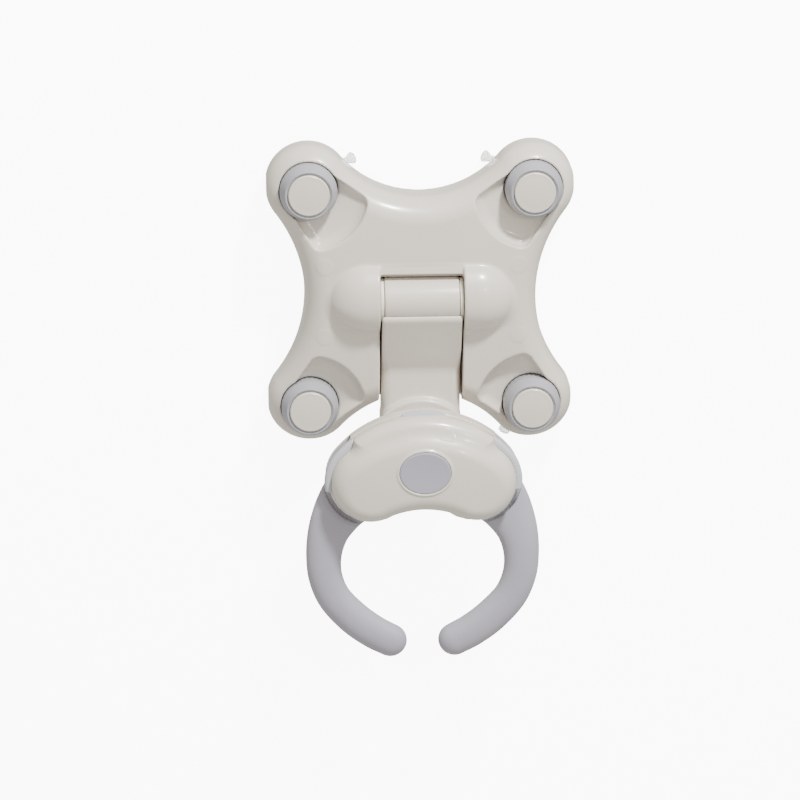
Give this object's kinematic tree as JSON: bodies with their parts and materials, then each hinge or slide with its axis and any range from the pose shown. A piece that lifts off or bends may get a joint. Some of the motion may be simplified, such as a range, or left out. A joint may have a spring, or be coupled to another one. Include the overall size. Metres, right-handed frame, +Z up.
{
  "type": "suction-base gripper arm",
  "caption": "Folding desktop arm on an X-shaped suction base, with a swivelling kidney-shaped head and two geared C-shaped jaws.",
  "frame": {"origin": "on the desk, under the middle of the whole outline with the arm folded", "axes": "+Z up from the desk, -Y the way the folded arm and its jaws point, +X to the right seen from above"},
  "size_m": [0.152, 0.2592, 0.0657],
  "materials": {
    "cream_shell": "satin, lightly textured ABS",
    "pale_grey_plastic": "satin ABS, cool light grey",
    "soft_grey": "matt soft-touch overmould",
    "silicone": "translucent suction silicone",
    "steel": "zinc-plated steel",
    "nylon": "natural nylon",
    "dark_plastic": "glass-filled nylon, black"
  },
  "bodies": {
    "base": {"base_cover": "cream_shell", "base_plate": "pale_grey_plastic", "base_screw_1": "steel", "base_screw_2": "steel", "base_screw_3": "steel", "base_screw_4": "steel", "hinge_pin": "steel", "hinge_block_left": "dark_plastic", "hinge_block_right": "dark_plastic", "friction_washer_left": "dark_plastic", "friction_washer_right": "dark_plastic", "suction_cup_back_left": "silicone", "suction_cup_back_right": "silicone", "suction_cup_front_left": "silicone", "suction_cup_front_right": "silicone"},
    "arm": {"arm_shell": "cream_shell", "arm_bottom": "cream_shell", "arm_barrel": "cream_shell", "swivel_ring": "soft_grey"},
    "head": {"head_base": "cream_shell", "head_frame": "pale_grey_plastic", "head_cover": "cream_shell", "head_screw_1": "steel", "head_screw_2": "steel", "swivel_screw": "steel", "swivel_washer": "steel", "jaw_pin_left": "steel", "jaw_pin_right": "steel", "button_spring": "steel", "jaw_spring_left": "steel", "jaw_spring_right": "steel"},
    "jaw_left": {"jaw_left": "soft_grey", "jaw_gear_left": "nylon"},
    "jaw_right": {"jaw_right": "soft_grey", "jaw_gear_right": "nylon"},
    "button": {"release_button": "soft_grey"},
    "lock_back_left": {"lock_ring_back_left": "pale_grey_plastic", "lock_cap_back_left": "cream_shell"},
    "stem_back_left": {"cup_stem_back_left": "steel"},
    "lock_back_right": {"lock_ring_back_right": "pale_grey_plastic", "lock_cap_back_right": "cream_shell"},
    "stem_back_right": {"cup_stem_back_right": "steel"},
    "lock_front_left": {"lock_ring_front_left": "pale_grey_plastic", "lock_cap_front_left": "cream_shell"},
    "stem_front_left": {"cup_stem_front_left": "steel"},
    "lock_front_right": {"lock_ring_front_right": "pale_grey_plastic", "lock_cap_front_right": "cream_shell"},
    "stem_front_right": {"cup_stem_front_right": "steel"}
  },
  "joints": [
    {"name": "arm_hinge", "type": "hinge", "parent": "base", "child": "arm", "pos_m": [0, 0.05315, 0.028], "axis": [-1, 0, 0], "range_deg": [0, 110]},
    {"name": "wrist_swivel", "type": "hinge", "parent": "arm", "child": "head", "pos_m": [0, -0.02535, 0.033], "axis": [0, 0, 1], "range_deg": [-60, 60]},
    {"name": "jaw_left_pivot", "type": "hinge", "parent": "head", "child": "jaw_left", "pos_m": [-0.0255, -0.03435, 0.043], "axis": [0, 0, -1], "range_deg": [0, 28], "stiffness_Nm_per_rad": 0.08, "springref_deg": -17.19, "deforming": ["jaw_spring_left"]},
    {"name": "jaw_right_pivot", "type": "hinge", "parent": "head", "child": "jaw_right", "pos_m": [0.0255, -0.03435, 0.043], "axis": [0, 0, 1], "range_deg": [0, 28], "deforming": ["jaw_spring_right"]},
    {"name": "button_press", "type": "slide", "parent": "head", "child": "button", "axis": [0, 0, -1], "range_m": [0, 0.0024], "stiffness_N_per_m": 600, "springref_m": -0.002, "deforming": ["button_spring"]},
    {"name": "lock_turn_back_left", "type": "hinge", "parent": "base", "child": "lock_back_left", "pos_m": [-0.0555, 0.10865, 0.03], "axis": [0, 0, 1], "range_deg": [0, 90]},
    {"name": "stem_lift_back_left", "type": "slide", "parent": "base", "child": "stem_back_left", "axis": [0, 0, 1], "range_m": [0, 0.0016], "deforming": ["suction_cup_back_left"]},
    {"name": "lock_turn_back_right", "type": "hinge", "parent": "base", "child": "lock_back_right", "pos_m": [0.0555, 0.10865, 0.03], "axis": [0, 0, 1], "range_deg": [0, 90]},
    {"name": "stem_lift_back_right", "type": "slide", "parent": "base", "child": "stem_back_right", "axis": [0, 0, 1], "range_m": [0, 0.0016], "deforming": ["suction_cup_back_right"]},
    {"name": "lock_turn_front_left", "type": "hinge", "parent": "base", "child": "lock_front_left", "pos_m": [-0.0555, -0.00235, 0.03], "axis": [0, 0, 1], "range_deg": [0, 90]},
    {"name": "stem_lift_front_left", "type": "slide", "parent": "base", "child": "stem_front_left", "axis": [0, 0, 1], "range_m": [0, 0.0016], "deforming": ["suction_cup_front_left"]},
    {"name": "lock_turn_front_right", "type": "hinge", "parent": "base", "child": "lock_front_right", "pos_m": [0.0555, -0.00235, 0.03], "axis": [0, 0, 1], "range_deg": [0, 90]},
    {"name": "stem_lift_front_right", "type": "slide", "parent": "base", "child": "stem_front_right", "axis": [0, 0, 1], "range_m": [0, 0.0016], "deforming": ["suction_cup_front_right"]}
  ],
  "couplings": [
    {"joint": "jaw_right_pivot", "follows": "jaw_left_pivot", "ratio": 1},
    {"joint": "lock_turn_back_left", "follows": "stem_lift_back_left", "rad_per_m": 981.7},
    {"joint": "lock_turn_back_right", "follows": "stem_lift_back_right", "rad_per_m": 981.7},
    {"joint": "lock_turn_front_left", "follows": "stem_lift_front_left", "rad_per_m": 981.7},
    {"joint": "lock_turn_front_right", "follows": "stem_lift_front_right", "rad_per_m": 981.7}
  ]
}
